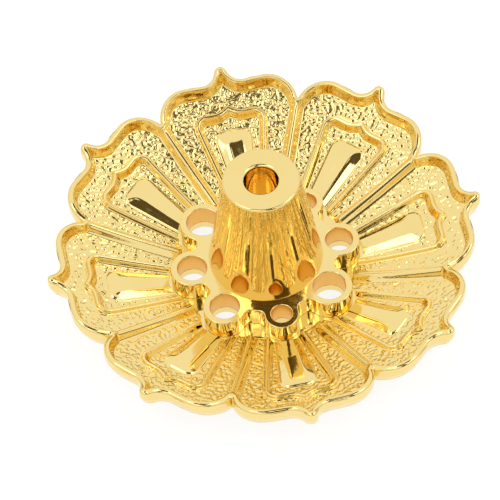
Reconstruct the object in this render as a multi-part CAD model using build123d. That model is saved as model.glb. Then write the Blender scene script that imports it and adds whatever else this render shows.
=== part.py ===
"""Lotus incense stick holder: petal dish, collar of stick sockets and centre cone, held by one screw."""
from build123d import *
from dataclasses import dataclass
import math
import os

# Petal outline, sizes in millimetres
PETALS = 8  # petals round the dish, one stick socket at each root
TIP_R = 33.4  # centre of the dish to a petal tip
TIP_RISE = 2.4  # tip beyond the petal's two shoulders
NUB_R = 1.05  # round end of the tip
FLANK_U = 3.3  # half width where the hollow flanks of the tip leave the shoulders
LOBE_R = 4.8  # round lobe at the end of each shoulder
LOBE_OVERLAP = 0.35  # lobes of two petals run into each other and leave a notch

# Dish section
DISH_H = 9.9  # rim at a petal tip, above the table
NOTCH_DROP = 2.1  # rim at a notch, below the tips
ROOT_RISE = 1.1  # rim ridge above the floor at a petal root
ROOT_OUT = 2.0  # petal root beyond the socket circle
EDGE_H = 2.9  # height of the petal edge
SHELL_T = 3.3  # rim ridge to underside, half way out
FLOOR_T = 1.2
FOOT_H = 0.5  # foot ring below the floor
FOOT_W = 3.0

# Petal relief
RIM_W = 0.95
ROOT_RIM_W = 0.35  # rim at the petal root, beside the line where two petals meet
FIELD_DEPTH = 1.45  # grained field below the rim at the tip
FIELD_ROOT_DEPTH = 1.0  # and at the root
RIDGE_RISE = 0.55  # inner ridge above the field
RIDGE_W = 0.75
RIDGE_INSET = 5.7  # tip of the inner ridge inside the petal tip
RIDGE_TIP_RISE = 0.9
RIDGE_NUB_R = 0.4
RIDGE_FLANK_U = 2.4
RIDGE_LOBE_R = 1.8
RIDGE_SPAN = 24.6  # degrees between the straight sides of the ridge
BED_DROP = 0.5  # grained bed inside the ridge, below the field, at the tip
TONGUE_RISE = 0.7  # polished tongue above the bed
TONGUE_INSET = 3.2  # end of the tongue inside the tip of the ridge
TONGUE_SPAN = 14.0  # degrees between the sides of the tongue
TONGUE_CORNER = 1.8

# Socket collar
SOCKET_RING_R = 11.4  # centre of the dish to a socket
NARROW_D = 3.2
MIDDLE_D = 4.2
WIDE_D = 4.5
WIDEST_D = 5.0
SOCKET_WALL = 1.0  # metal round a socket
COLLAR_H = 3.5
WAIST_IN = 0.8  # edge of the collar's disc inside the socket circle
BAY_R = 1.0  # hollow between two lobes

# Centre cone
CONE_H = 18.9  # above the collar
CONE_TOP_R = 5.75
CONE_EDGE = 0.35  # rounding of the top disc
CONE_MARGIN = 0.2  # foot of the cone to the widest sockets
BORE_R = 2.5  # centre stick bore
BORE_EDGE = 0.35  # rounded mouth of the bore
BORE_FLOOR_T = 5.1  # metal between the bore and the tapped hole
SPIGOT_R = 4.0

# Fixing: an M3 screw from below
SHANK_R = 1.5
SHANK_L = 8.0
HEAD_R = 2.8
HEAD_H = 1.8
HEAD_EDGE = 0.7
CROSS_W = 0.8  # cross recess of the head
CROSS_L = 3.2
CROSS_DEPTH = 1.0
WASHER_R = 3.5
WASHER_T = 0.5
POCKET_ROOF_T = 1.1  # metal above the screw's pocket
BOSS_WALL = 1.8  # metal round the pocket

# Clearances
HEAD_LIFT = 0.4  # screw head above the table
POCKET_GAP = 1.1  # round the washer
MOAT_W = 0.5  # bare floor round the collar
SEAT_GAP = 0.1  # between collar and boss
BOSS_TOP_GAP = 0.15  # collar and spigot above the boss
SPIGOT_GAP = 0.05
FOOT_GAP = 0.6  # foot ring outside the sockets
SHANK_GAP = 0.2  # screw in the dish
WASHER_GAP = 0.1  # screw in the washer
THREAD_GAP = 0.05  # plain hole for the thread in the cone
THREAD_SPARE = 0.6  # tapped hole past the end of the screw
OVERRUN = 1.0  # cutting shapes past the face that they cut
LAP = 0.3  # ridge and tongue run into the metal under them, the sides of the field into its middle
ROOT_STEP = 0.1  # ridge and tongue start this far outside the petal root

# Sockets from the front petal, anticlockwise seen from above
SOCKET_D = (NARROW_D, WIDEST_D, MIDDLE_D, NARROW_D, MIDDLE_D, WIDEST_D, WIDE_D, WIDE_D)

# Radii and levels that follow
STEP = 360.0 / PETALS
SOCKET_MAX_R = max(SOCKET_D) / 2
RELIEF_R = SOCKET_RING_R + ROOT_OUT
FOOT_IN_R = SOCKET_RING_R + SOCKET_MAX_R + SOCKET_WALL + FOOT_GAP
FOOT_OUT_R = FOOT_IN_R + FOOT_W
CONE_BASE_R = SOCKET_RING_R - SOCKET_MAX_R - CONE_MARGIN
POCKET_R = WASHER_R + POCKET_GAP
BOSS_FLAT = POCKET_R + BOSS_WALL
FLOOR_Z = FOOT_H + FLOOR_T
COLLAR_Z = FLOOR_Z + COLLAR_H
TOP_Z = COLLAR_Z + CONE_H
WASHER_Z = HEAD_LIFT + HEAD_H
ROOF_Z = WASHER_Z + WASHER_T
BOSS_Z = ROOF_Z + POCKET_ROOF_T
SPIGOT_Z = BOSS_Z + BOSS_TOP_GAP
OUT_R = TIP_R + OVERRUN
HIGH_Z = DISH_H + OVERRUN


@dataclass(frozen=True)
class Ogee:
    """Plan of a pointed petal on the front of the dish, u across it and v out along it from the centre."""

    tip: float
    tip_rise: float
    nub_r: float
    flank_u: float
    lobe_r: float
    span: float
    overlap: float

    def lobe_centre(self):
        """Centre of the right lobe, whose edge passes the side ray by the overlap."""
        half = math.radians(self.span / 2)
        v = self.tip - self.tip_rise - self.lobe_r
        u = (v * math.sin(half) - self.lobe_r + self.overlap) / math.cos(half)
        return u, v

    def lobe_end(self):
        """Distance from the centre of the dish at which a lobe meets the side ray."""
        half = math.radians(self.span / 2)
        u, v = self.lobe_centre()
        off_ray = self.lobe_r - self.overlap
        return u * math.sin(half) + v * math.cos(half) + math.sqrt(self.lobe_r**2 - off_ray**2)

    def ray(self, distance, inset=0.0):
        """Point at a distance along the right side ray, or inside it by an inset."""
        half = math.radians(self.span / 2)
        u = distance * math.sin(half) - inset * math.cos(half)
        return (u, -distance * math.cos(half) - inset * math.sin(half))

    def crown(self):
        """Edges of the outer end, from one side ray over the tip to the other."""
        shoulder = self.tip - self.tip_rise
        lift = self.tip_rise - self.nub_r
        flank_r = (self.flank_u**2 + lift**2 - self.nub_r**2) / (2 * self.tip_rise)
        share = self.nub_r / (self.nub_r + flank_r)
        join_u = self.flank_u * share
        join_v = shoulder + lift + (flank_r - lift) * share
        lobe_u = self.lobe_centre()[0]
        flank = TangentArc((self.flank_u, -shoulder), (join_u, -join_v), tangent=(-1, 0))
        level = Line((self.flank_u, -shoulder), (lobe_u, -shoulder))
        lobe = TangentArc((lobe_u, -shoulder), self.ray(self.lobe_end()), tangent=(1, 0))
        nub = ThreePointArc((-join_u, -join_v), (0, -self.tip), (join_u, -join_v))
        right = [flank, level, lobe]
        return [nub] + right + [mirror(edge, Plane.YZ) for edge in right]

    def plan(self, root):
        """The petal's face from its crown in along both rays to the root."""
        x0, y0 = self.ray(root)
        x1, y1 = self.ray(self.lobe_end())
        sides = [Line((x1, y1), (x0, y0)), Line((x0, y0), (-x0, y0)), Line((-x0, y0), (-x1, y1))]
        return make_face(self.crown() + sides)


PETAL = Ogee(TIP_R, TIP_RISE, NUB_R, FLANK_U, LOBE_R, STEP, LOBE_OVERLAP)
RIDGE = Ogee(TIP_R - RIDGE_INSET, RIDGE_TIP_RISE, RIDGE_NUB_R, RIDGE_FLANK_U, RIDGE_LOBE_R, RIDGE_SPAN, 0.0)
NOTCH_R = PETAL.lobe_end()

# Depths below the rim, at the petal root and at the tip
RIM = (0.0, 0.0)
FIELD = (FIELD_ROOT_DEPTH, FIELD_DEPTH)
RIDGE_TOP = (FIELD_ROOT_DEPTH - RIDGE_RISE, FIELD_DEPTH - RIDGE_RISE)
BED = (FIELD_ROOT_DEPTH, FIELD_DEPTH + BED_DROP)
TONGUE_TOP = (FIELD_ROOT_DEPTH - TONGUE_RISE, FIELD_DEPTH + BED_DROP - TONGUE_RISE)


def rim_z(r):
    """Height of the rim ridge at radius r: a curve through the root, the notch and the tip."""
    knots = ((RELIEF_R, FLOOR_Z + ROOT_RISE), (NOTCH_R, DISH_H - NOTCH_DROP), (TIP_R, DISH_H))
    height = 0.0
    for ri, zi in knots:
        for rj, _ in knots:
            if rj != ri:
                zi *= (r - rj) / (ri - rj)
        height += zi
    return height


def relief_z(r, depths):
    """Height of a relief surface at radius r."""
    share = (r - RELIEF_R) / (TIP_R - RELIEF_R)
    return rim_z(r) - depths[0] - share * (depths[1] - depths[0])


def relief_arc(depths, start=RELIEF_R):
    """The line of a relief surface in the r, z plane, from the petal root to outside the tip."""
    radii = (start, (start + OUT_R) / 2, OUT_R)
    return ThreePointArc(*[(r, relief_z(r, depths)) for r in radii])


def turned(edges):
    """Solid of revolution about the upright axis from edges in the r, z plane."""
    return revolve(Plane.XZ * make_face(edges), Axis.Z)


def above(depths):
    """Everything over a relief surface, level inside the petal root."""
    arc = relief_arc(depths)
    inside = RELIEF_R - OVERRUN
    root_z = relief_z(RELIEF_R, depths)
    walls = Polyline(arc @ 1, (OUT_R, HIGH_Z), (inside, HIGH_Z), (inside, root_z), arc @ 0)
    return turned([arc, walls])


def below(depths):
    """A skin under a relief surface that reaches into the dish, from just outside the petal root."""
    start = RELIEF_R + ROOT_STEP
    arc = relief_arc(depths, start)
    low = relief_arc((BED[0] + LAP, BED[1] + LAP), start)
    return turned([arc, low, Line(arc @ 0, low @ 0), Line(arc @ 1, low @ 1)])


def all_round(shape):
    """Copies of a shape on every petal, from the front round the dish."""
    return [Rot(0, 0, STEP * k) * shape for k in range(PETALS)]


def tall(plan):
    """A plan region as a block through the whole dish."""
    return extrude(plan, HIGH_Z)


def field_plan(root):
    """Plan of the grained field inside the rim, which narrows from the lobes to the petal root."""
    inside = RIM_W + LAP
    side = make_face(Polyline(PETAL.ray(NOTCH_R - LOBE_R, RIM_W), PETAL.ray(root, ROOT_RIM_W),
                              PETAL.ray(root, inside), PETAL.ray(NOTCH_R - LOBE_R, inside), close=True))
    return offset(PETAL.plan(root - RIM_W), -RIM_W) + side + mirror(side, Plane.YZ)


def tongue_plan():
    """Plan of the tongue: two sides that spread from the centre, with a rounded end."""
    end = TIP_R - RIDGE_INSET - TONGUE_INSET
    root = RELIEF_R - OVERRUN / 2
    spread = math.tan(math.radians(TONGUE_SPAN / 2))
    corners = ((root * spread, -root), (end * spread, -end), (-end * spread, -end), (-root * spread, -root))
    plan = make_face(Polyline(*corners, close=True))
    return fillet(plan.vertices().sort_by(Axis.Y)[:2], TONGUE_CORNER)


def collar_plan(grow=0.0):
    """Plan of the socket collar: a disc with one round lobe per socket, hollowed between the lobes."""
    plan = Circle(SOCKET_RING_R - WAIST_IN)
    for k, d in enumerate(SOCKET_D):
        plan += Rot(0, 0, STEP * k) * Pos(0, -SOCKET_RING_R) * Circle(d / 2 + SOCKET_WALL)
    return offset(offset(plan, BAY_R), grow - BAY_R)


def post(r, z0, z1):
    """Upright cylinder on the centre line."""
    return Pos(0, 0, (z0 + z1) / 2) * Cylinder(r, z1 - z0)


def sockets():
    """Upright cylinders on the socket places: dish and collar are drilled through together."""
    pins = []
    for k, d in enumerate(SOCKET_D):
        pins.append(Rot(0, 0, STEP * k) * Pos(0, -SOCKET_RING_R) * post(d / 2, 0, COLLAR_Z + OVERRUN))
    return pins


def boss(flat, z0, z1):
    """Upright block with a side for each socket, on the centre line."""
    corner = flat / math.cos(math.radians(STEP / 2))
    plan = Rot(0, 0, STEP / 2 - 90) * RegularPolygon(corner, PETALS)
    return Pos(0, 0, z0) * extrude(plan, z1 - z0)


def dish_blank():
    """The dish before its relief: turned section with a foot ring, cut to the petal outline."""
    top = relief_arc(RIM)
    middle = (FOOT_OUT_R + TIP_R) / 2
    edge = (OUT_R, rim_z(OUT_R) - EDGE_H)
    under = ThreePointArc((FOOT_OUT_R, FOOT_H), (middle, rim_z(middle) - SHELL_T), edge)
    foot = Polyline((0, FOOT_H), (FOOT_IN_R, FOOT_H), (FOOT_IN_R, 0), (FOOT_OUT_R, 0), (FOOT_OUT_R, FOOT_H))
    floor = Polyline(top @ 0, (RELIEF_R, FLOOR_Z), (0, FLOOR_Z), (0, FOOT_H))
    blank = turned([foot, under, Line(under @ 1, top @ 1), top, floor])
    crowns = [Rot(0, 0, STEP * k) * line for k in range(PETALS) for line in PETAL.crown()]
    return blank & tall(make_face(crowns))


def make_petal_dish():
    """The cast dish: petal relief, floor and boss for the collar, holes under the sockets, screw pocket."""
    root = RELIEF_R - OVERRUN
    field = tall(field_plan(root)) & above(FIELD)
    ridge = tall(RIDGE.plan(root)) & below(RIDGE_TOP)
    bed = tall(offset(RIDGE.plan(root - RIDGE_W), -RIDGE_W)) & above(BED)
    tongue = tall(tongue_plan()) & below(TONGUE_TOP)

    dish = dish_blank() - all_round(field)
    dish = dish + all_round(ridge)
    dish = dish - all_round(bed)
    dish = dish + all_round(tongue)

    dish = dish - Pos(0, 0, FLOOR_Z) * extrude(collar_plan(MOAT_W), HIGH_Z)
    dish = dish + boss(BOSS_FLAT, FOOT_H, BOSS_Z)
    dish = dish - post(POCKET_R, -OVERRUN, ROOF_Z)
    dish = dish - post(SHANK_R + SHANK_GAP, 0, BOSS_Z + OVERRUN)
    return dish - sockets()


def make_socket_collar():
    """The scalloped collar with its through sockets, open below over the dish's boss."""
    collar = Pos(0, 0, FLOOR_Z) * extrude(collar_plan(), COLLAR_H)
    collar = collar - boss(BOSS_FLAT + SEAT_GAP, FLOOR_Z - OVERRUN, SPIGOT_Z)
    collar = collar - post(SPIGOT_R + SPIGOT_GAP, FLOOR_Z, COLLAR_Z + OVERRUN)
    return collar - sockets()


def top_rims(cone):
    """Round edges of the cone's top disc, the smallest first."""
    return cone.edges().filter_by(GeomType.CIRCLE).group_by(Axis.Z)[-1].sort_by(SortBy.RADIUS)


def make_centre_cone():
    """The turned cone: spigot and tapped hole below, stick bore above."""
    thread_r = SHANK_R + THREAD_GAP
    thread_z = WASHER_Z + SHANK_L + THREAD_SPARE
    bore_z = thread_z + BORE_FLOOR_T
    spigot = ((0, thread_z), (thread_r, thread_z), (thread_r, SPIGOT_Z), (SPIGOT_R, SPIGOT_Z))
    flank = ((SPIGOT_R, COLLAR_Z), (CONE_BASE_R, COLLAR_Z), (CONE_TOP_R, TOP_Z))
    bore = ((BORE_R, TOP_Z), (BORE_R, bore_z), (0, bore_z))
    cone = turned([Polyline(*spigot, *flank, *bore, close=True)])
    cone = fillet(top_rims(cone)[-1], CONE_EDGE)
    return fillet(top_rims(cone)[0], BORE_EDGE)


def make_fixing_screw():
    """M3 pan head screw, head down, with a cross recess."""
    screw = post(HEAD_R, HEAD_LIFT, WASHER_Z) + post(SHANK_R, WASHER_Z - HEAD_H / 2, WASHER_Z + SHANK_L)
    screw = fillet(screw.edges().filter_by(GeomType.CIRCLE).group_by(Axis.Z)[0], HEAD_EDGE)
    slot = Pos(0, 0, HEAD_LIFT) * Box(CROSS_L, CROSS_W, 2 * CROSS_DEPTH)
    return screw - slot - Rot(0, 0, 90) * slot


def make_screw_washer():
    """Plain washer between the screw head and the roof of the pocket."""
    return post(WASHER_R, WASHER_Z, ROOF_Z) - post(SHANK_R + WASHER_GAP, 0, ROOF_Z + OVERRUN)


NODES = {
    "petal_dish": make_petal_dish,
    "socket_collar": make_socket_collar,
    "centre_cone": make_centre_cone,
    "fixing_screw": make_fixing_screw,
    "screw_washer": make_screw_washer,
}

os.makedirs("parts", exist_ok=True)
for name, make in NODES.items():
    solids = make().solids()
    if len(solids) != 1:
        raise ValueError(f"{name} has {len(solids)} solids, not one")
    solids[0].label = name
    export_step(solids[0], f"parts/{name}.step")
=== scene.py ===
"""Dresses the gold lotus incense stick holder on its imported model, with its studio and camera."""

import logging
from dataclasses import dataclass
from enum import Enum
from math import acos, asin, atan2, cos, pi, radians, sin, tan

import bpy
import numpy as np
from bpy.types import Material, Node, NodeSocket, NodeTree, Object
from mathutils import Matrix, Vector


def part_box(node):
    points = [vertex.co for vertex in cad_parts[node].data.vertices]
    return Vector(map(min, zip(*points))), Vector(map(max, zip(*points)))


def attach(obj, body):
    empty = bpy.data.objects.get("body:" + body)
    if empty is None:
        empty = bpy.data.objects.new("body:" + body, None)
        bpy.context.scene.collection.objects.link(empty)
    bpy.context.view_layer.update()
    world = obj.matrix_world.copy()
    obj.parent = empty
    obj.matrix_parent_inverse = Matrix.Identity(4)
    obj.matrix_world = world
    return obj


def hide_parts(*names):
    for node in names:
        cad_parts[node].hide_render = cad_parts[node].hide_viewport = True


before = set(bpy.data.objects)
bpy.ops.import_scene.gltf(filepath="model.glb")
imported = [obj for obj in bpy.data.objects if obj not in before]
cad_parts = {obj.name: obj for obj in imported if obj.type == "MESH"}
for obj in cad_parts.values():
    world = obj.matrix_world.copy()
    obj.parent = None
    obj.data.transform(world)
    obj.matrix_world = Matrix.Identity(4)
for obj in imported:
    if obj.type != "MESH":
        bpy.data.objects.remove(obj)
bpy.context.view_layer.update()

log = logging.getLogger("lotus_holder")
Array = np.ndarray
Pair = tuple[float, float]
Triple = tuple[float, float, float]
MM = 0.001
PETALS = 8
STEP = 2 * pi / PETALS
WHITE = "#FFFFFF"
# Millimetres that a cutting tool stands out of its piece, and that a point may lie off its wall
OVERCUT = 1.0
ON_WALL = 0.02
# Where most values of a noise pattern lie
NOISE_LOW, NOISE_HIGH = 0.3, 0.7
# A Mix node's two colour inputs and its colour output, by number
MIX_A, MIX_B, MIXED = 6, 7, 2


class Slot(Enum):
    """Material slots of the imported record."""

    GOLD = "gold_plate"
    STEEL = "zinc_steel"


class Place(Enum):
    """Petals and sockets from the front, anticlockwise seen from above."""

    FRONT = 0
    FRONT_RIGHT = 1
    RIGHT = 2
    BACK_RIGHT = 3
    BACK = 4
    BACK_LEFT = 5
    LEFT = 6
    FRONT_LEFT = 7


def linear(code: str) -> tuple[float, float, float, float]:
    """Turns an sRGB colour to linear light, with the numbers of the sRGB standard.

    Args:
        code: Colour such as "#F7D58A".

    Returns:
        Red, green, blue and alpha in linear light.
    """
    parts = [int(code[i:i + 2], 16) / 255 for i in (1, 3, 5)]
    red, green, blue = (c / 12.92 if c <= 0.04045 else ((c + 0.055) / 1.055) ** 2.4
                        for c in parts)
    return red, green, blue, 1.0


def per_metre(size: float) -> float:
    """Pattern scale for features of a size in millimetres."""
    return 1.0 / (size * MM)


def add_node(tree: NodeTree, kind: str, settings: dict | None = None,
             links: dict | None = None) -> Node:
    """Adds a node with its settings and links.

    Args:
        tree: Node tree to add to.
        kind: Blender's name of the node type, without ShaderNode before it.
        settings: Values for inputs, by name or number, or for properties of the node.
        links: Output sockets that feed inputs, by the input's name or number.

    Returns:
        The new node.
    """
    node = tree.nodes.new("ShaderNode" + kind)
    for key, value in (settings or {}).items():
        if isinstance(key, str) and hasattr(node, key):
            setattr(node, key, value)
        else:
            node.inputs[key].default_value = value
    for key, source in (links or {}).items():
        tree.links.new(source, node.inputs[key])
    return node


def new_tree(name: str) -> tuple[Material, NodeTree]:
    """Makes a new material.

    Args:
        name: Its name.

    Returns:
        The material and its empty node tree.
    """
    material = bpy.data.materials.new(name)
    material.use_nodes = True
    material.node_tree.nodes.clear()
    return material, material.node_tree


@dataclass(frozen=True)
class GoldPlate:
    """Bright gold plate on a cast and polished brass: a mirror with a faint polisher's haze.

    Each bounce between two gold faces is deeper and more orange, which is what the eye takes for
    its colour. The plate is a little paler where it is thin, the polish has soft waves, and the
    cast grain of the petal fields is left duller than the polished ridges. In the holes, where the
    polisher doesn't reach, it is dull, and its deeper orange is partly a duller plate and partly
    painted shade that stands in for the many bounces between the walls. The cone's flank has some
    of that tint as painted shade for its bounces, without the dullness. Haze is finer on real
    plate, and as coarse here as it needs to show.
    """

    name: str = "polished_gold_plate"
    pale: str = "#F7E09B"
    deep: str = "#F3D88C"
    polish: Pair = (0.05, 0.1)
    # Painted shade: a deeper orange for light bounced between gold walls, in the holes partly a
    # duller plate
    dull_and_bounce_amber: str = "#F4BE62"
    grain_dulls: float = 0.06
    hole_dulls: float = 0.25
    patch_mm: float = 7.0
    haze_mm: float = 0.9
    wave_mm: float = 1.1
    wave_depth_mm: float = 0.012
    grit_mm: float = 0.22
    grit_depth_mm: float = 0.01

    def material(self) -> Material:
        """Builds the material.

        Returns:
            The material.
        """
        made, tree = new_tree(self.name)
        place = add_node(tree, "TexCoord").outputs["Object"]
        hole, dull_and_bounce_amber, grain = (
            add_node(tree, "Attribute", {"attribute_name": name}).outputs["Fac"]
            for name in ("hole", "dull_and_bounce_amber", "grain"))
        # Each pattern's size and its octaves of detail
        patch, haze, wave, grit = (
            add_node(tree, "TexNoise", {"Scale": per_metre(size), "Detail": octaves},
                     {"Vector": place}).outputs["Fac"]
            for size, octaves in ((self.patch_mm, 2.0), (self.haze_mm, 3.0),
                                  (self.wave_mm, 2.0), (self.grit_mm, 1.0)))
        tint = add_node(tree, "Mix", {"data_type": "RGBA", MIX_A: linear(self.pale),
                                      MIX_B: linear(self.deep)}, {0: patch})
        # Painted shade: a mask deepens the plate to orange where light bounces between gold walls
        plate = add_node(tree, "Mix", {"data_type": "RGBA", MIX_B: linear(self.dull_and_bounce_amber)},
                         {0: dull_and_bounce_amber, MIX_A: tint.outputs[MIXED]})
        polish = add_node(tree, "MapRange",
                          {"From Min": NOISE_LOW, "From Max": NOISE_HIGH,
                           "To Min": self.polish[0], "To Max": self.polish[1]}, {"Value": haze})
        cast = add_node(tree, "Math", {"operation": "MULTIPLY_ADD", 1: self.grain_dulls},
                        {0: grain, 2: polish.outputs["Result"]})
        rough = add_node(tree, "Math", {"operation": "MULTIPLY_ADD", 1: self.hole_dulls},
                         {0: hole, 2: cast.outputs["Value"]})
        soft = add_node(tree, "Bump", {"Distance": self.wave_depth_mm * MM}, {"Height": wave})
        gritty = add_node(tree, "Math", {"operation": "MULTIPLY"}, {0: grit, 1: grain})
        sharp = add_node(tree, "Bump", {"Distance": self.grit_depth_mm * MM},
                         {"Height": gritty.outputs["Value"], "Normal": soft.outputs["Normal"]})
        shader = add_node(tree, "BsdfPrincipled", {"Metallic": 1.0},
                          {"Base Color": plate.outputs[MIXED], "Roughness": rough.outputs["Value"],
                           "Normal": sharp.outputs["Normal"]})
        add_node(tree, "OutputMaterial", {}, {"Surface": shader.outputs["BSDF"]})
        return made


@dataclass(frozen=True)
class ZincSteel:
    """Zinc plated steel of the screw and washer: grey, with the plating's small cloudy spangle.

    Its scratches are finer on real steel, and as coarse here as they need to show.
    """

    name: str = "zinc_plated_steel"
    bright: str = "#C9CCD0"
    cloudy: str = "#A9AEB4"
    polish: Pair = (0.22, 0.42)
    cloud_mm: float = 1.1
    scratch_mm: float = 0.3
    scratch_depth_mm: float = 0.004

    def material(self) -> Material:
        """Builds the material.

        Returns:
            The material.
        """
        made, tree = new_tree(self.name)
        place = add_node(tree, "TexCoord").outputs["Object"]
        # Each pattern's size and its octaves of detail
        cloud, scratch = (
            add_node(tree, "TexNoise", {"Scale": per_metre(size), "Detail": octaves},
                     {"Vector": place}).outputs["Fac"]
            for size, octaves in ((self.cloud_mm, 4.0), (self.scratch_mm, 2.0)))
        tint = add_node(tree, "Mix", {"data_type": "RGBA", MIX_A: linear(self.bright),
                                      MIX_B: linear(self.cloudy)}, {0: cloud})
        rough = add_node(tree, "MapRange",
                         {"From Min": NOISE_LOW, "From Max": NOISE_HIGH,
                          "To Min": self.polish[0], "To Max": self.polish[1]}, {"Value": cloud})
        worn = add_node(tree, "Bump", {"Distance": self.scratch_depth_mm * MM}, {"Height": scratch})
        shader = add_node(tree, "BsdfPrincipled", {"Metallic": 1.0},
                          {"Base Color": tint.outputs[MIXED], "Roughness": rough.outputs["Result"],
                           "Normal": worn.outputs["Normal"]})
        add_node(tree, "OutputMaterial", {}, {"Surface": shader.outputs["BSDF"]})
        return made


def deselect() -> None:
    """Leaves edit mode and selects nothing."""
    if bpy.context.object and bpy.context.object.mode != "OBJECT":
        mode("OBJECT")
    bpy.ops.object.select_all(action="DESELECT")


def pick(obj: Object) -> None:
    """Makes one object the selected and active one.

    Args:
        obj: The object.
    """
    deselect()
    obj.select_set(True)
    bpy.context.view_layer.objects.active = obj


def mode(name: str) -> None:
    """Changes between object and edit mode."""
    bpy.ops.object.mode_set(mode=name)


def select_mesh() -> None:
    """Selects the whole mesh in edit mode."""
    bpy.ops.mesh.select_all(action="SELECT")


def added(name: str) -> Object:
    """Names the object that was just added, and its data."""
    bpy.context.object.name = bpy.context.object.data.name = name
    return bpy.context.object


def settle() -> None:
    """Applies the place, turn and size of what is selected to its mesh."""
    bpy.ops.object.transform_apply(location=True, rotation=True, scale=True)


def set_points(obj: Object, points: Array) -> None:
    """Moves a mesh's vertices to points in metres, in the order of the mesh."""
    obj.data.vertices.foreach_set("co", points.astype(np.float32).ravel())
    obj.data.update()


def get_points(obj: Object) -> Array:
    """Reads a mesh's vertices.

    Args:
        obj: The piece.

    Returns:
        Rows of x, y and z in metres.
    """
    flat = np.zeros(len(obj.data.vertices) * 3, np.float32)
    obj.data.vertices.foreach_get("co", flat)
    return flat.reshape(-1, 3)


def paint(obj: Object, name: str, values: Array) -> None:
    """Writes one value for each vertex, for the materials to read.

    Args:
        obj: The piece.
        name: The attribute that the material asks for.
        values: From 0 to 1, in the order of the mesh.
    """
    layer = obj.data.attributes.new(name, "FLOAT", "POINT")
    layer.data.foreach_set("value", values.astype(np.float32))


def tidy_shell(obj: Object) -> None:
    """Merges doubles, closes what is open and turns all faces outwards.

    Args:
        obj: The piece.
    """
    pick(obj)
    mode("EDIT")
    bpy.ops.mesh.select_mode(type="VERT")
    select_mesh()
    bpy.ops.mesh.remove_doubles(threshold=1e-6)
    select_mesh()
    bpy.ops.mesh.fill_holes(sides=0)
    select_mesh()
    bpy.ops.mesh.normals_make_consistent(inside=False)
    mode("OBJECT")


def apply(obj: Object, kind: str, **settings: object) -> None:
    """Adds a modifier with its settings and applies it.

    Args:
        obj: Piece to change.
        kind: Blender's name of the modifier type.
        settings: Properties of the modifier.
    """
    pick(obj)
    modifier = obj.modifiers.new(kind.lower(), kind)
    for key, value in settings.items():
        setattr(modifier, key, value)
    bpy.ops.object.modifier_apply(modifier=modifier.name)


def smooth_by_angle(obj: Object, degrees: float) -> None:
    """Shades smooth, with edges sharper than an angle left hard."""
    pick(obj)
    bpy.ops.object.shade_smooth_by_angle(angle=radians(degrees))


def lathe(name: str, section: list[Pair], steps: int) -> Object:
    """Turns a section about the upright axis: its line is extruded point by point and spun.

    Args:
        name: Name of the piece.
        section: Radius and height of each point in millimetres, from the axis and back to it, or
            a closed line.
        steps: Facets round the axis.

    Returns:
        The closed turned mesh.
    """
    deselect()
    bpy.ops.mesh.primitive_plane_add(size=MM)
    obj = added(name)
    mode("EDIT")
    bpy.ops.mesh.select_mode(type="VERT")
    bpy.ops.mesh.merge(type="CENTER")
    last = (0.0, 0.0)
    for count, point in enumerate(section):
        move = ((point[0] - last[0]) * MM, 0.0, (point[1] - last[1]) * MM)
        if count == 0:
            bpy.ops.transform.translate(value=move)
        else:
            bpy.ops.mesh.extrude_region_move(TRANSFORM_OT_translate={"value": move})
        last = point
    select_mesh()
    bpy.ops.mesh.spin(steps=steps, angle=2 * pi, center=(0, 0, 0), axis=(0, 0, 1))
    tidy_shell(obj)
    return obj


def prism(name: str, outline: Array, low: float, high: float) -> Object:
    """Extrudes a closed plan line.

    Args:
        name: Name of the piece.
        outline: Plan points in millimetres, one row each.
        low: Height of the lower face in millimetres.
        high: Height of the upper face in millimetres.

    Returns:
        The closed block.
    """
    deselect()
    bpy.ops.mesh.primitive_circle_add(vertices=len(outline), radius=MM, fill_type="NGON")
    obj = added(name)
    set_points(obj, np.column_stack([outline, np.full(len(outline), low)]) * MM)
    mode("EDIT")
    select_mesh()
    bpy.ops.mesh.extrude_region_move(TRANSFORM_OT_translate={"value": (0, 0, (high - low) * MM)})
    tidy_shell(obj)
    return obj


def cut(obj: Object, tools: list[Object], operation: str = "DIFFERENCE") -> None:
    """Cuts a piece with tools, or joins them to it, and removes the tools.

    Args:
        obj: Piece to change.
        tools: Closed meshes that don't touch each other.
        operation: Blender's name of the boolean operation.
    """
    pick(tools[0])
    for tool in tools[1:]:
        tool.select_set(True)
    if len(tools) > 1:
        bpy.ops.object.join()
    tool = bpy.context.view_layer.objects.active
    apply(obj, "BOOLEAN", operation=operation, solver="EXACT", object=tool)
    bpy.data.objects.remove(tool)


def pin(radius: float, low: float, high: float, place: Pair = (0.0, 0.0),
        facets: int = 96) -> Object:
    """An upright round tool for cutting.

    Args:
        radius: Radius in millimetres.
        low: Height of the lower end.
        high: Height of the upper end.
        place: Plan point of its axis.
        facets: Sides of the round.

    Returns:
        The tool.
    """
    deselect()
    middle = (place[0] * MM, place[1] * MM, (low + high) / 2 * MM)
    bpy.ops.mesh.primitive_cylinder_add(vertices=facets, radius=radius * MM,
                                        depth=(high - low) * MM, location=middle)
    tool = bpy.context.object
    settle()
    return tool


def octagon(radius: float, low: float, high: float) -> Object:
    """An upright eight-sided block, with a flat to the front.

    Args:
        radius: Distance of its corners from the axis in millimetres.
        low: Height of the lower end.
        high: Height of the upper end.

    Returns:
        The block.
    """
    block = pin(radius, low, high, facets=8)
    pick(block)
    bpy.ops.transform.rotate(value=STEP / 2, orient_axis="Z", center_override=(0, 0, 0))
    settle()
    return block


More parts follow.
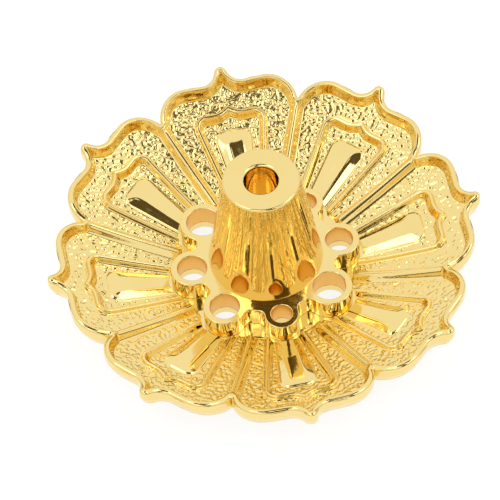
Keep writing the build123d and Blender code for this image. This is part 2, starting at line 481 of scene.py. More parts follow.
def rounded(section: list[Triple], facets: int = 6, support: float = 0.06) -> list[Pair]:
    """Rounds the corners of a section, with a point close to each rounding to keep flats flat.

    Args:
        section: Radius, height and corner rounding of each point in millimetres.
        facets: Steps of each rounding.
        support: Distance of the extra point from the rounding.

    Returns:
        Radius and height of each point.
    """
    line: list[Pair] = []
    for i, (r, z, size) in enumerate(section):
        here = np.array((r, z))
        if size == 0:
            line.append((r, z))
            continue
        before = np.array(section[i - 1][:2]) - here
        after = np.array(section[(i + 1) % len(section)][:2]) - here
        before, after = before / np.linalg.norm(before), after / np.linalg.norm(after)
        half = acos(float(np.clip(before @ after, -1, 1))) / 2
        reach = size / tan(half)
        centre = here + (before + after) / np.linalg.norm(before + after) * size / sin(half)
        start, end = here + before * reach - centre, here + after * reach - centre
        turn = atan2(start[0] * end[1] - start[1] * end[0], float(start @ end))
        line.append(tuple(here + before * (reach + support)))
        for k in range(facets + 1):
            c, s = cos(turn * k / facets), sin(turn * k / facets)
            line.append((centre[0] + c * start[0] - s * start[1],
                         centre[1] + s * start[0] + c * start[1]))
        line.append(tuple(here + after * (reach + support)))
    return line


def dress(obj: Object, node: str, finish: Material) -> None:
    """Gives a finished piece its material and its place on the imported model.

    Args:
        obj: Finished piece.
        node: CAD node that it stands for.
        finish: Its material.
    """
    obj.data.materials.clear()
    obj.data.materials.append(finish)
    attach(obj, "root")
    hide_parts(node)
    log.info("%s stands for %s, %d faces", obj.name, node, len(obj.data.polygons))


def smooth(x: Array, low: float, high: float) -> Array:
    """Goes smoothly from 0 at low to 1 at high."""
    t = np.clip((x - low) / (high - low), 0, 1)
    return t * t * (3 - 2 * t)


def ramp(x: Array | float, low: float, high: float) -> Array:
    """Level up to low, bends smoothly up to high and rises by 1 in 1 beyond."""
    t = np.maximum((x - low) / (high - low), 0)
    return (high - low) * np.where(t < 1, t ** 3 - t ** 4 / 2, t - 0.5)


def through(knots: tuple[Pair, ...], r: Array | float) -> Array:
    """Height at a radius of the curve through points, each given by its radius and height."""
    return sum(z * np.prod([(r - q) / (p - q) for q, _ in knots if q != p], axis=0)
               for p, z in knots)


def arc(centre: Pair, radius: float, start: float, end: float, count: int = 24) -> Array:
    """Points of an arc, with angles from the v axis towards u."""
    a = np.linspace(start, end, count)
    return np.column_stack([centre[0] + radius * np.sin(a), centre[1] + radius * np.cos(a)])


@dataclass(frozen=True)
class OgeeLine:
    """Plan line of a pointed end, in millimetres.

    It has a round nub, hollow flanks, straight shoulders and round lobes.
    """

    tip: float
    tip_rise: float
    nub_r: float
    flank_u: float
    lobe_r: float
    span: float
    overlap: float
    root: float = 9.0
    lobe_points: int = 60

    def points(self) -> Array:
        """Works out the right half of the line, u across and v out.

        Returns:
            Points from the tip to the side ray and in along it.
        """
        half = radians(self.span / 2)
        shoulder = self.tip - self.tip_rise
        lift = self.tip_rise - self.nub_r
        flank_r = (self.flank_u ** 2 + lift ** 2 - self.nub_r ** 2) / (2 * self.tip_rise)
        join = atan2(self.flank_u, flank_r - lift)
        lobe_v = shoulder - self.lobe_r
        lobe_u = (lobe_v * sin(half) - self.lobe_r + self.overlap) / cos(half)
        lobe_end = half + asin(1 - self.overlap / self.lobe_r)
        nub = arc((0, shoulder + lift), self.nub_r, 0, join)
        flank = arc((self.flank_u, shoulder + flank_r), flank_r, join + pi, pi)
        lobe = arc((lobe_u, lobe_v), self.lobe_r, 0, lobe_end, self.lobe_points)
        foot = np.array([[self.root * sin(half), self.root * cos(half)]])
        return np.concatenate([nub, flank[1:], lobe, foot])


@dataclass(frozen=True)
class TongueLine:
    """Plan line of the polished tongue, in millimetres.

    It has spreading sides and a blunt end with round corners.
    """

    tip: float
    corner_r: float
    span: float
    root: float = 9.0

    def points(self) -> Array:
        """Works out the right half of the line, u across and v out.

        Returns:
            Points from the middle of its end to the side ray and in along it.
        """
        half = radians(self.span / 2)
        v = self.tip - self.corner_r
        u = (v * sin(half) - self.corner_r) / cos(half)
        corner = arc((u, v), self.corner_r, 0, half + pi / 2)
        foot = np.array([[self.root * sin(half), self.root * cos(half)]])
        return np.concatenate([[[0.0, self.tip]], corner, foot])


def inward(line: Array, u: Array, v: Array) -> Array:
    """Distance inside a petal line, negative outside it.

    Args:
        line: Right half of the line.
        u: Distance of each point across the petal, not negative.
        v: Distance of each point out along the petal.

    Returns:
        Distance of each point to the line.
    """
    points = np.stack([u, v], -1)
    best = np.full(u.shape, np.inf)
    for a, b in zip(line[:-1], line[1:]):
        run = b - a
        if run @ run == 0:
            continue
        along = np.clip(((points - a) @ run) / (run @ run), 0, 1)
        best = np.minimum(best, np.linalg.norm(points - a - along[..., None] * run, axis=-1))
    turn = np.arctan2(line[:-1, 0], line[:-1, 1])
    reach = np.interp(np.arctan2(u, v), turn, np.linalg.norm(line[:-1], axis=1), right=0.0)
    return np.where(np.hypot(u, v) <= reach, best, -best)


@dataclass
class SocketCollar:
    """The scalloped collar: a disc with a round lobe for each stick socket, in millimetres."""

    low: float
    high: float
    ring_r: float = 11.4
    bores: tuple[float, ...] = (3.2, 5.0, 4.2, 3.2, 4.2, 5.0, 4.5, 4.5)
    wall: float = 1.0
    waist_r: float = 10.6
    bay_r: float = 1.0
    edge: float = 0.14
    spigot_r: float = 4.05
    boss_r: float = 7.035
    boss_high: float = 3.95
    lobe_points: int = 40
    bay_points: int = 12
    least_step: float = 1e-4

    def place(self, k: int) -> Pair:
        """Plan point of a socket."""
        return self.ring_r * sin(STEP * k), -self.ring_r * cos(STEP * k)

    def outline(self, grow: float) -> Array:
        """Closed plan line of the lobes and the bays between them.

        Args:
            grow: Distance that the line is moved outwards.

        Returns:
            Plan points, anticlockwise seen from above.
        """
        lobes = [d / 2 + self.wall for d in self.bores]
        centres = [complex(*self.place(k)) for k in range(PETALS)]
        waist_ring = self.waist_r + self.bay_r
        bays: list[list[complex]] = []
        for k in range(PETALS):
            turns = []
            for lobe in (lobes[k], lobes[(k + 1) % PETALS]):
                share = (waist_ring ** 2 + self.ring_r ** 2 - (lobe + self.bay_r) ** 2)
                turns.append(acos(share / (2 * waist_ring * self.ring_r)))
            first = centres[k] / self.ring_r * waist_ring * np.exp(1j * turns[0])
            last = centres[(k + 1) % PETALS] / self.ring_r * waist_ring * np.exp(-1j * turns[1])
            bays.append([first, last] if sum(turns) < STEP else [(first + last) / 2])
        bay = self.bay_r - grow
        line: list[complex] = []

        def sweep(centre: complex, radius: float, start: complex, end: complex, sign: int,
                  count: int) -> None:
            """Adds an arc from one direction to another.

            Args:
                centre: Its centre.
                radius: Its radius.
                start: A point towards its start.
                end: A point towards its end.
                sign: 1 for anticlockwise, -1 for clockwise.
                count: Points on it.
            """
            a = np.angle(start - centre)
            turn = (sign * (np.angle(end - centre) - a)) % (2 * pi)
            line.extend(centre + radius * np.exp(1j * (a + sign * np.linspace(0, turn, count))))

        for k in range(PETALS):
            before, after = bays[k - 1][-1], bays[k][0]
            following = centres[(k + 1) % PETALS]
            sweep(centres[k], lobes[k] + grow, before, after, 1, self.lobe_points)
            turned = 0j if len(bays[k]) > 1 else following
            sweep(after, bay, centres[k], turned, -1, self.bay_points)
            if len(bays[k]) > 1:
                sweep(bays[k][1], bay, 0j, following, -1, self.bay_points)
        flat = np.array(line)
        keep = np.abs(flat - np.roll(flat, 1)) > self.least_step
        return np.column_stack([flat.real, flat.imag])[keep]

    def build(self) -> Object:
        """Extrudes the plan, bores the sockets and rounds the edges.

        Returns:
            The collar.
        """
        collar = prism("socket_collar_polished", self.outline(0.0), self.low, self.high)
        tools = [pin(d / 2, self.low - OVERCUT, self.high + OVERCUT, self.place(k))
                 for k, d in enumerate(self.bores)]
        tools.append(pin(self.spigot_r, self.low - OVERCUT, self.high + OVERCUT))
        cut(collar, tools)
        cut(collar, [octagon(self.boss_r, self.low - OVERCUT, self.boss_high)])
        apply(collar, "BEVEL", width=self.edge * MM, segments=3, limit_method="ANGLE",
              angle_limit=radians(50), harden_normals=False)
        smooth_by_angle(collar, degrees=40)
        apply(collar, "WEIGHTED_NORMAL", mode="FACE_AREA", weight=100, keep_sharp=True)
        points = get_points(collar) / MM
        hole = np.zeros(len(points))
        for k, d in enumerate(self.bores):
            x, y = self.place(k)
            reach = np.hypot(points[:, 0] - x, points[:, 1] - y)
            hole[(reach < d / 2 + ON_WALL) & (points[:, 2] < self.high - self.edge / 2)] = 1.0
        paint(collar, "hole", hole)
        # Painted shade: the socket walls are tinted deeper orange for the bounces between them,
        # partly a duller plate
        paint(collar, "dull_and_bounce_amber", hole)
        return collar


@dataclass
class PetalDish:
    """The cast dish of eight petals, in millimetres.

    Pairs of sizes say where a slope or the grain begins and ends, as a distance inside its line.
    """

    tip_r: float
    height: float
    floor: float
    collar: SocketCollar
    foot: float = 0.5
    foot_in: float = 15.5
    foot_out: float = 18.5
    foot_edge: float = 0.15
    root_r: float = 13.4
    root_rise: float = 1.1
    root_fade: Pair = (-0.1, 0.15)
    notch_drop: float = 2.1
    moat: float = 0.5
    edge_h: float = 2.9
    shell: float = 3.3
    edge_tuck: float = 0.55
    tuck_from: float = 0.3
    tuck_power: float = 1.5
    rim_roll: Pair = (0.95, 0.85)
    rim_crest: float = 0.22
    rim_wall: Pair = (0.80, 1.5)
    side_wall: Pair = (0.08, 1.2)
    field_depth: Pair = (1.0, 1.45)
    ridge_inset: float = 5.7
    ridge_rise: float = 0.58
    ridge_outer: Pair = (-0.32, 0.10)
    ridge_inner: Pair = (0.32, 1.12)
    bed_drop: float = 0.5
    bed_root: float = 0.6
    tongue_inset: float = 8.9
    tongue_span: float = 14.0
    tongue_step: float = 0.14
    tongue_edge: Pair = (-0.15, 0.25)
    tongue_bevel: float = 0.46
    tongue_flat: Pair = (0.25, 0.62)
    tongue_slope: float = 4.5
    grain_mm: float = 0.5
    grain_height: float = 0.2
    grain_rim: Pair = (1.4, 1.7)
    grain_ridge: Pair = (-0.6, -0.35)
    grain_bed: Pair = (1.0, 1.25)
    grain_tongue: Pair = (-0.3, -0.05)
    boss_r: float = 6.927
    boss_high: float = 3.8
    boss_sink: float = 0.2
    pocket_r: float = 4.6
    pocket_roof: float = 2.7
    shank_r: float = 1.7
    columns: int = 272
    rows: int = 224
    roll_rows: int = 18
    edge_rows: int = 12
    under_rows: int = 18
    weight_steps: int = 8

    def lines(self) -> tuple[Array, Array, Array]:
        """Works out the plan lines.

        Returns:
            Right halves of the petal outline, the inner ridge and the tongue.
        """
        petal = OgeeLine(tip=self.tip_r, tip_rise=2.4, nub_r=1.05, flank_u=3.3, lobe_r=4.8,
                         span=45.0, overlap=0.35)
        ridge = OgeeLine(tip=self.tip_r - self.ridge_inset, tip_rise=0.9, nub_r=0.4, flank_u=2.4,
                         lobe_r=1.8, span=24.6, overlap=0.0)
        tongue = TongueLine(tip=self.tongue_end(), corner_r=1.8, span=self.tongue_span)
        return petal.points(), ridge.points(), tongue.points()

    def tongue_end(self) -> float:
        """Distance from the centre to the end of a tongue."""
        return self.tip_r - self.tongue_inset

    def notch_r(self) -> float:
        """Distance from the centre to the notch between two petals."""
        return float(np.linalg.norm(self.lines()[0][-2]))

    def rim(self, r: Array | float) -> Array:
        """Height of the rim ridge at a radius: a curve through the root, the notch and the tip."""
        return through(((self.root_r, self.floor + self.root_rise),
                        (self.notch_r(), self.height - self.notch_drop),
                        (self.tip_r, self.height)), r)

    def under(self, r: Array) -> Array:
        """Height of the underside at a radius."""
        middle, end = (self.foot_out + self.tip_r) / 2, self.tip_r + 1
        return through(((self.foot_out, self.foot), (middle, float(self.rim(middle)) - self.shell),
                        (end, float(self.rim(end)) - self.edge_h)), r)

    def relief(self, u: Array, v: Array) -> tuple[Array, Array]:
        """Upper surface of a petal.

        Args:
            u: Distance across the petal.
            v: Distance out along the petal.

        Returns:
            Height of each point, and how much of the cast grain it has.
        """
        petal, ridge, tongue = self.lines()
        u = np.abs(u)
        r = np.hypot(u, v)
        share = np.clip((r - self.root_r) / (self.tip_r - self.root_r), 0, 1)
        side = v * sin(STEP / 2) - u * cos(STEP / 2)
        crown = np.abs(inward(petal[:-1], u, v))
        steep = (self.rim_wall[1] - self.rim_wall[0]) / (self.side_wall[1] - self.side_wall[0])
        edge = np.minimum(self.rim_wall[0] + (side - self.side_wall[0]) * steep, crown)
        ridge_in = inward(ridge, u, v)
        tongue_in = inward(tongue, u, v)
        field = self.field_depth[0] + share * (self.field_depth[1] - self.field_depth[0])

        z = self.rim(r) - field * smooth(edge, *self.rim_wall)
        out = np.clip(1 - crown / self.rim_roll[0], 0, 1)
        z = z + self.rim_crest * (1 - smooth(crown, *self.rim_wall))
        z = z - self.rim_roll[1] * (1 - np.sqrt(1 - out ** 2))
        z = z + self.ridge_rise * smooth(ridge_in, *self.ridge_outer)
        bed = self.bed_drop * (self.bed_root + (1 - self.bed_root) * share)
        z = z - (self.ridge_rise + bed) * smooth(ridge_in, *self.ridge_inner)
        half = v * tan(radians(self.tongue_span / 2))
        along = np.clip((self.tongue_end() - v) / self.tongue_slope, 0, 1)
        bend = ramp(1.0, *self.tongue_flat) - ramp(np.minimum(u / half, 1), *self.tongue_flat)
        fall = half * self.tongue_bevel * bend
        z = z + self.tongue_step * smooth(tongue_in, *self.tongue_edge)
        z = z + fall * (1 - (1 - along) ** 3)

        grain = smooth(edge, *self.grain_rim) * (1 - smooth(ridge_in, *self.grain_ridge))
        grain = grain + (smooth(ridge_in, *self.grain_bed)
                         * (1 - smooth(tongue_in, *self.grain_tongue)))
        inside = smooth(r, self.root_r + self.root_fade[0], self.root_r + self.root_fade[1])
        return self.floor + (z - self.floor) * inside, grain * inside

    def root(self, turn: Array) -> Array:
        """Radius of the inner end of the relief, outside the collar.

        Args:
            turn: Angles from the front.

        Returns:
            Radius at each angle.
        """
        line = self.collar.outline(self.moat)
        angle = np.unwrap(np.arctan2(line[:, 0], -line[:, 1]))
        reach = np.hypot(line[:, 0], line[:, 1])
        angle = np.concatenate([angle - 2 * pi, angle, angle + 2 * pi])
        return np.interp(turn, angle, np.tile(reach, 3))

    def petal(self, place: Place) -> Object:
        """One closed petal, on one sheet that meets itself at the root.

        The sheet is the relief, the rolled edge, the underside and the foot.

        Args:
            place: Which petal.

        Returns:
            The petal, before its grain.
        """
        turn = np.linspace(-STEP / 2, STEP / 2, self.columns + 1)
        line = self.lines()[0][:-1]
        out_r = np.interp(np.abs(turn), np.arctan2(line[:, 0], line[:, 1]),
                          np.linalg.norm(line, axis=1))
        root_r = self.root(turn + STEP * place.value)
        one = np.ones_like(turn)

        roll = 1 - self.rim_roll[0] / (self.tip_r - self.root_r)
        close = np.sin(np.linspace(0, pi / 2, self.roll_rows + 1))[1:]
        share = np.concatenate([np.linspace(0, roll, self.rows - self.roll_rows + 1),
                                roll + (1 - roll) * close])[:, None]
        r_top = root_r + share * (out_r - root_r)
        z_top, grain = self.relief(r_top * np.sin(turn), r_top * np.cos(turn))

        low_r = out_r - self.edge_tuck
        low_z = self.under(low_r)
        down = np.linspace(0, 1, self.edge_rows + 1)[1:, None]
        r_edge = out_r - self.edge_tuck * smooth(down, self.tuck_from, 1.0) ** self.tuck_power
        z_edge = z_top[-1] + down * (low_z - z_top[-1])

        back = np.linspace(0, 1, self.under_rows + 1)[1:, None]
        r_under = low_r + back * (self.foot_out - low_r)
        z_under = self.under(r_under)
        ring = [(self.foot_out, self.foot_edge), (self.foot_out - self.foot_edge, 0.0),
                (self.foot_in + self.foot_edge, 0.0), (self.foot_in, self.foot_edge),
                (self.foot_in, self.foot)]
        r_foot = np.concatenate([[r * one for r, _ in ring], [root_r, root_r, root_r]])
        z_foot = np.concatenate([[z * one for _, z in ring],
                                 [self.foot * one, self.floor * one, z_top[0]]])

        r = np.concatenate([r_top, r_edge, r_under, r_foot])
        z = np.concatenate([z_top, z_edge, z_under, z_foot])
        grain = np.concatenate([grain, np.zeros((len(r) - len(grain), len(turn)))])
        angle = turn + STEP * place.value
        points = np.stack([r * np.sin(angle), -r * np.cos(angle), z], -1).reshape(-1, 3) * MM

        deselect()
        bpy.ops.mesh.primitive_grid_add(x_subdivisions=len(turn) - 1, y_subdivisions=len(r) - 1,
                                        size=2)
        obj = added(f"petal_{place.name.lower()}")
        flat = get_points(obj)
        column = np.rint((flat[:, 0] + 1) / 2 * (len(turn) - 1)).astype(int)
        row = np.rint((flat[:, 1] + 1) / 2 * (len(r) - 1)).astype(int)
        index = row * len(turn) + column
        set_points(obj, points[index])
        weight = grain.ravel()[index]
        paint(obj, "grain", weight)
        group = obj.vertex_groups.new(name="cast_grain")
        level = np.rint(weight * self.weight_steps).astype(int)
        for step in range(1, self.weight_steps + 1):
            group.add(np.flatnonzero(level == step).tolist(), step / self.weight_steps, "REPLACE")
        tidy_shell(obj)
        return obj

    def roughen(self, obj: Object) -> None:
        """Raises the cast grain of the fields, and removes its weights.

        Args:
            obj: The petal.
        """
        cast = bpy.data.textures.new("cast_grain", "CLOUDS")
        cast.noise_scale = self.grain_mm * MM
        cast.noise_depth = 0
        apply(obj, "DISPLACE", texture=cast, texture_coords="LOCAL", direction="NORMAL",
              mid_level=0.5, strength=self.grain_height * MM, vertex_group="cast_grain")
        obj.vertex_groups.clear()
        smooth_by_angle(obj, degrees=60)

    def base(self) -> Object:
        """The floor inside the petals, with boss, screw pocket and lower ends of the sockets.

        Returns:
            The floor.
        """
        turn = np.linspace(-STEP / 2, STEP / 2, self.columns + 1)[:-1]
        angle = np.concatenate([turn + STEP * k for k in range(PETALS)])
        reach = self.root(angle)
        outline = np.column_stack([reach * np.sin(angle), -reach * np.cos(angle)])
        base = prism("dish_floor", outline, self.foot, self.floor)
        cut(base, [octagon(self.boss_r, self.foot + self.boss_sink, self.boss_high)], "UNION")
        low = self.foot - OVERCUT
        tools = [pin(self.pocket_r, low, self.pocket_roof)]
        for k, d in enumerate(self.collar.bores):
            tools.append(pin(d / 2, low, self.floor + OVERCUT, self.collar.place(k)))
        cut(base, tools)
        cut(base, [pin(self.shank_r, low, self.boss_high + OVERCUT)])
        smooth_by_angle(base, degrees=30)
        return base

    def build(self) -> list[Object]:
        """Models the petals and the floor.

        Returns:
            The pieces.
        """
        pieces = []
        for place in Place:
            petal = self.petal(place)
            self.roughen(petal)
            pieces.append(petal)
        return pieces + [self.base()]


@dataclass
class CentreCone:
    """The turned cone with its stick bore, in millimetres."""

    base_r: float
    low: float
    high: float
    collar_top: float
    top_r: float = 5.75
    edge: float = 0.35
    base_edge: float = 0.08
    bore_r: float = 2.5
    bore_edge: float = 0.5
    bore_land: float = 1.2
    bore_floor: float = 15.9
    bore_floor_edge: float = 0.4
    spigot_r: float = 4.0
    spigot_edge: float = 0.15
    thread_r: float = 1.55
    thread_high: float = 10.8
    # Painted shade: the bore is tinted deeper orange for its bounces, partly a duller plate, and
    # also dulled by it
    bore_dull_and_bounce: float = 0.22
    # Painted shade: the flank is tinted deeper orange for light bounced off nearby gold
    flank_bounce_shade: float = 0.2
    facets: int = 256

    def build(self) -> Object:
        """Spins the section: tapped hole, spigot, flank, top disc and bore.

        Returns:
            The cone.
        """
        section = rounded([
            (0.0, self.thread_high, 0.0),
            (self.thread_r, self.thread_high, 0.0),
            (self.thread_r, self.low, self.spigot_edge),
            (self.spigot_r, self.low, self.spigot_edge),
            (self.spigot_r, self.collar_top, 0.0),
            (self.base_r, self.collar_top, self.base_edge),
            (self.top_r, self.high, self.edge),
            (self.bore_r, self.high, self.bore_edge),
            (self.bore_r, self.high - self.bore_land, 0.0),
            (self.bore_r, self.bore_floor, self.bore_floor_edge),
            (0.0, self.bore_floor, 0.0),
        ])
        cone = lathe("centre_cone_polished", section, self.facets)
        points = get_points(cone) / MM
        reach = np.hypot(points[:, 0], points[:, 1])
        rise = points[:, 2]
        bore = ((reach < self.bore_r + ON_WALL) & (rise > self.thread_high + ON_WALL)
                & (rise < self.high - self.bore_edge))
        flank = ((reach > self.spigot_r + ON_WALL) & (rise > self.collar_top)
                 & (rise < self.high - self.edge / 2))
        paint(cone, "hole", self.bore_dull_and_bounce * bore)
        # Painted shade: the bore and the flank are tinted deeper orange for light bounced off
        # nearby gold
        paint(cone, "dull_and_bounce_amber", self.bore_dull_and_bounce * bore + self.flank_bounce_shade * flank)
        smooth_by_angle(cone, degrees=35)
        return cone


@dataclass
class Fixing:
    """The M3 pan head screw and its washer under the dish, in millimetres."""

    head_low: float
    head_high: float
    shank_high: float
    washer_low: float
    washer_high: float
    head_r: float = 2.8
    head_round: float = 0.7
    head_edge: float = 0.12
    neck_edge: float = 0.1
    shank_r: float = 1.5
    root_r: float = 1.2
    pitch: float = 0.5
    plain_l: float = 1.0
    point_l: float = 0.4
    cross_l: float = 3.2
    cross_w: float = 0.8
    cross_depth: float = 1.0
    cross_taper: float = 0.55
    washer_r: float = 3.5
    washer_edge: float = 0.12
    washer_bore_r: float = 1.6
    washer_bore_edge: float = 0.08

    def screw(self) -> Object:
        """Spins head and threaded shank, and sinks the cross recess.

        Returns:
            The screw.
        """
        section = rounded([(0.0, self.head_low, 0.0),
                           (self.head_r, self.head_low, self.head_round),
                           (self.head_r, self.head_high, self.head_edge),
                           (self.shank_r, self.head_high, self.neck_edge)])
        z = self.head_high + self.plain_l
        while z + self.pitch < self.shank_high - self.point_l:
            section += [(self.shank_r, z), (self.root_r, z + self.pitch / 2)]
            z += self.pitch
        section += [(self.shank_r, z), (self.root_r, self.shank_high), (0.0, self.shank_high)]
        screw = lathe("fixing_screw_zinc", section, steps=64)
        for turn in (0.0, pi / 2):
            deselect()
            bpy.ops.mesh.primitive_cube_add(size=MM, location=(0, 0, self.head_low * MM))
            blade = bpy.context.object
            bpy.ops.transform.resize(value=(self.cross_l, self.cross_w, 2 * self.cross_depth))
            bpy.ops.transform.rotate(value=turn, orient_axis="Z", center_override=(0, 0, 0))
            settle()
            mode("EDIT")
            bpy.ops.mesh.select_mode(type="FACE")
            bpy.ops.mesh.select_all(action="DESELECT")
            mode("OBJECT")
            for face in blade.data.polygons:
                face.select = round(face.normal.z) == 1
            mode("EDIT")
            bpy.ops.transform.resize(value=(self.cross_taper, self.cross_taper, 1.0))
            mode("OBJECT")
            cut(screw, [blade])
        smooth_by_angle(screw, degrees=35)
        return screw

    def washer(self) -> Object:
        """Spins the washer with its worn edges.

        Returns:
            The washer.
        """
        section = rounded([(self.washer_bore_r, self.washer_low, self.washer_bore_edge),
                           (self.washer_r, self.washer_low, self.washer_edge),
                           (self.washer_r, self.washer_high, self.washer_edge),
                           (self.washer_bore_r, self.washer_high, self.washer_bore_edge)],
                          facets=3, support=0.03)
        washer = lathe("screw_washer_zinc", section + section[:1], steps=96)
        smooth_by_angle(washer, degrees=35)
        return washer


@dataclass(frozen=True)
class Lamp:
    """A soft lamp that faces the holder: its middle, width and depth in metres, and its power."""

    name: str
    middle: Triple
    size: Pair
    watts: float

    def build(self) -> None:
        """Hangs the lamp."""
        deselect()
        bpy.ops.object.light_add(type="AREA", location=self.middle)
        lamp = added(self.name)
        lamp.rotation_euler = Vector(self.middle).to_track_quat("Z", "Y").to_euler()
        lamp.data.shape = "RECTANGLE"
        lamp.data.size, lamp.data.size_y = self.size
        lamp.data.energy = self.watts


@dataclass(frozen=True)
class EvenLight:
    """Even light of one colour: the room behind the tent's gaps, or the tent's own cloth."""

    name: str
    code: str

    def material(self) -> Material:
        """Builds the material.

        Returns:
            The material.
        """
        made, tree = new_tree(self.name)
        own = add_node(tree, "Emission", {"Color": linear(self.code)})
        add_node(tree, "OutputMaterial", {}, {"Surface": own.outputs["Emission"]})
        return made


def mirror_only(card: Object, finish: Material) -> None:
    """Gives a card its finish, and shows it only in the holder's mirror faces.

    Args:
        card: The card.
        finish: Its material.
    """
    card.data.materials.append(finish)
    card.visible_camera = card.visible_diffuse = False
    card.visible_shadow = card.visible_transmission = False


@dataclass(frozen=True)
class Card:
    """An oval card that faces the holder: its middle, width and height in metres."""

    name: str
    middle: Triple
    size: Pair

    def build(self, finish: Material) -> None:
        """Hangs the card.

        Args:
            finish: Its material.
        """
        deselect()
        bpy.ops.mesh.primitive_circle_add(vertices=48, radius=0.5, fill_type="NGON",
                                          location=self.middle)
        card = added(self.name)
        card.rotation_euler = (-Vector(self.middle)).to_track_quat("Z", "Y").to_euler()
        card.scale = (*self.size, 1.0)
        mirror_only(card, finish)


@dataclass
class Studio:
    """White table in a soft white tent, with four lamps and the dark gaps that metal mirrors.

    The gap is a ring round the table, the vent is overhead and the door in front. The cap is a
    patch of cloth in the vent, which flat tops mirror when they are seen from straight above.
    Sizes are in metres.
    """

    floor_size: float = 6.0
    floor_glow: float = 0.84
    floor_tints: tuple[str, str] = ("#7F7E7C", "#7C7B79")
    speck_mm: float = 3.0
    lamps: tuple[Lamp, ...] = (
        Lamp("left_lamp", (-0.46, -0.02, 1.0), (0.36, 0.40), 0.75),
        Lamp("right_lamp", (0.66, -0.11, 1.0), (0.42, 0.54), 1.05),
        Lamp("front_lamp", (0.30, -0.45, 1.0), (0.20, 0.22), 0.24),
        Lamp("side_lamp", (-0.42, -0.75, 1.0), (0.36, 0.22), 0.38),
    )
    dark: EvenLight = EvenLight("dark_room", "#5A4F37")
    dim: EvenLight = EvenLight("dim_room", "#7A705E")
    cloth: EvenLight = EvenLight("tent_cloth", WHITE)
    vent: Card = Card("tent_vent", (0.06, -0.09, 0.95), (0.80, 0.54))
    door: Card = Card("tent_door", (0.3, -1.15, 0.944), (0.62, 1.3))
    cap: Card = Card("tent_cap", (0.0, 0.01, 0.94), (0.13, 0.13))
    gap_r: float = 1.6
    gap_high: float = 0.2
    gap_depth: float = 0.2

    def shown(self, tree: NodeTree) -> NodeSocket:
        """Tells the rays that are seen from others.

        Args:
            tree: Node tree to add to.

        Returns:
            1 on rays from the camera and on mirrored or refracted rays, 0 on others.
        """
        path = add_node(tree, "LightPath").outputs
        first = add_node(tree, "Math", {"operation": "MAXIMUM"},
                         {0: path["Is Camera Ray"], 1: path["Is Glossy Ray"]})
        both = add_node(tree, "Math", {"operation": "MAXIMUM"},
                        {0: first.outputs["Value"], 1: path["Is Transmission Ray"]})
        return both.outputs["Value"]

    def floor_material(self) -> Material:
        """Matte table.

        A light of its own on rays that are seen keeps it white, and its matte part the shadow.

        Returns:
            The material.
        """
        made, tree = new_tree("white_table")
        place = add_node(tree, "TexCoord").outputs["Object"]
        speck = add_node(tree, "TexNoise", {"Scale": per_metre(self.speck_mm)}, {"Vector": place})
        first, second = (linear(code) for code in self.floor_tints)
        tint = add_node(tree, "Mix", {"data_type": "RGBA", MIX_A: first, MIX_B: second},
                        {0: speck.outputs["Fac"]})
        matte = add_node(tree, "BsdfDiffuse", {}, {"Color": tint.outputs[MIXED]})
        glow = add_node(tree, "Math", {"operation": "MULTIPLY", 1: self.floor_glow},
                        {0: self.shown(tree)})
        own = add_node(tree, "Emission", {"Color": linear(WHITE)},
                       {"Strength": glow.outputs["Value"]})
        both = add_node(tree, "AddShader", {},
                        {0: matte.outputs["BSDF"], 1: own.outputs["Emission"]})
        add_node(tree, "OutputMaterial", {}, {"Surface": both.outputs["Shader"]})
        return made

    def build(self) -> None:
        """Sets the table, the tent, the lamps and the cards."""
        deselect()
        bpy.ops.mesh.primitive_plane_add(size=self.floor_size)
        floor = added("table")
        floor.data.materials.append(self.floor_material())

        world = bpy.data.worlds.new("white_tent")
        world.use_nodes = True
        world.node_tree.nodes.clear()
        tent = add_node(world.node_tree, "Background", {"Color": linear(WHITE), "Strength": 1.0})
        add_node(world.node_tree, "OutputWorld", {}, {"Surface": tent.outputs["Background"]})
        bpy.context.scene.world = world

        for lamp in self.lamps:
            lamp.build()
        dark = self.dark.material()
        self.vent.build(dark)
        self.door.build(dark)
        self.cap.build(self.cloth.material())
        deselect()
        bpy.ops.mesh.primitive_cylinder_add(vertices=64, radius=self.gap_r, depth=self.gap_depth,
                                            end_fill_type="NOTHING",
                                            location=(0, 0, self.gap_high))
        mirror_only(added("tent_gap"), self.dim.material())


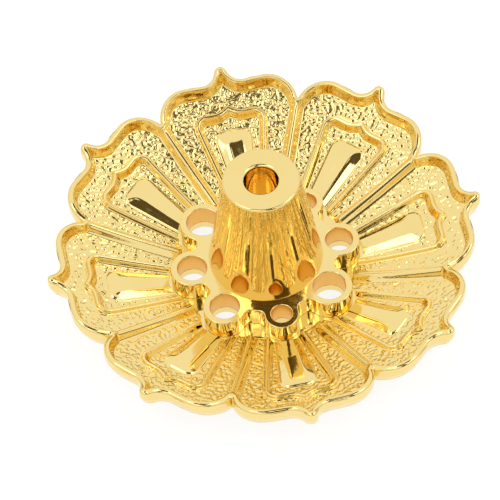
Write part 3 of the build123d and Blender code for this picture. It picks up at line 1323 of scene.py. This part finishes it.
@dataclass
class PhotoCamera:
    """The photograph's camera: a long lens from the front and above, a little turned."""

    azimuth: float = -8.92
    elevation: float = 54.38
    roll: float = -3.94
    distance: float = 0.6894
    focal_mm: float = 327.15
    sensor_mm: float = 36.0
    nearest: float = 0.01
    target_mm: Triple = (-2.178, 1.188, 5.2)

    def build(self) -> None:
        """Makes the scene's camera."""
        az, el, roll = (radians(a) for a in (self.azimuth, self.elevation, self.roll))
        back = Vector((sin(az) * cos(el), -cos(az) * cos(el), sin(el)))
        level = Vector((cos(az), sin(az), 0.0))
        rise = back.cross(level)
        right = cos(roll) * level + sin(roll) * rise
        up = -sin(roll) * level + cos(roll) * rise
        spot = Vector(self.target_mm) * MM + back * self.distance
        deselect()
        bpy.ops.object.camera_add()
        camera = added("photo_camera")
        turn = Matrix((right, up, back)).transposed().to_4x4()
        camera.matrix_world = Matrix.Translation(spot) @ turn
        camera.data.lens = self.focal_mm
        camera.data.sensor_width = self.sensor_mm
        camera.data.clip_start = self.nearest
        bpy.context.scene.camera = camera


def node_box(node: str) -> tuple[Vector, Vector]:
    """Lowest and highest corner of a CAD node in millimetres."""
    low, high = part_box(node)
    return low / MM, high / MM


def main() -> None:
    """Builds and dresses every piece, then the studio and the camera."""
    logging.basicConfig(level=logging.INFO, format="%(message)s")
    bpy.context.scene.view_settings.view_transform = "Standard"
    gold, zinc = GoldPlate().material(), ZincSteel().material()

    dish_low, dish_high = node_box("petal_dish")
    collar_low, collar_high = node_box("socket_collar")
    cone_low, cone_high = node_box("centre_cone")
    screw_low, screw_high = node_box("fixing_screw")
    washer_low, washer_high = node_box("screw_washer")

    collar = SocketCollar(collar_low.z, collar_high.z)
    tip_r = min(*dish_high.xy, *-dish_low.xy)
    dish = PetalDish(tip_r, dish_high.z, collar.low, collar)
    for piece in dish.build():
        dress(piece, "petal_dish", gold)
    dress(collar.build(), "socket_collar", gold)
    cone = CentreCone(cone_high.x, cone_low.z, cone_high.z, collar.high)
    dress(cone.build(), "centre_cone", gold)
    fixing = Fixing(screw_low.z, washer_low.z, screw_high.z, washer_low.z, washer_high.z)
    dress(fixing.screw(), "fixing_screw", zinc)
    dress(fixing.washer(), "screw_washer", zinc)

    Studio().build()
    PhotoCamera().build()


if __name__ == "__main__":
    main()
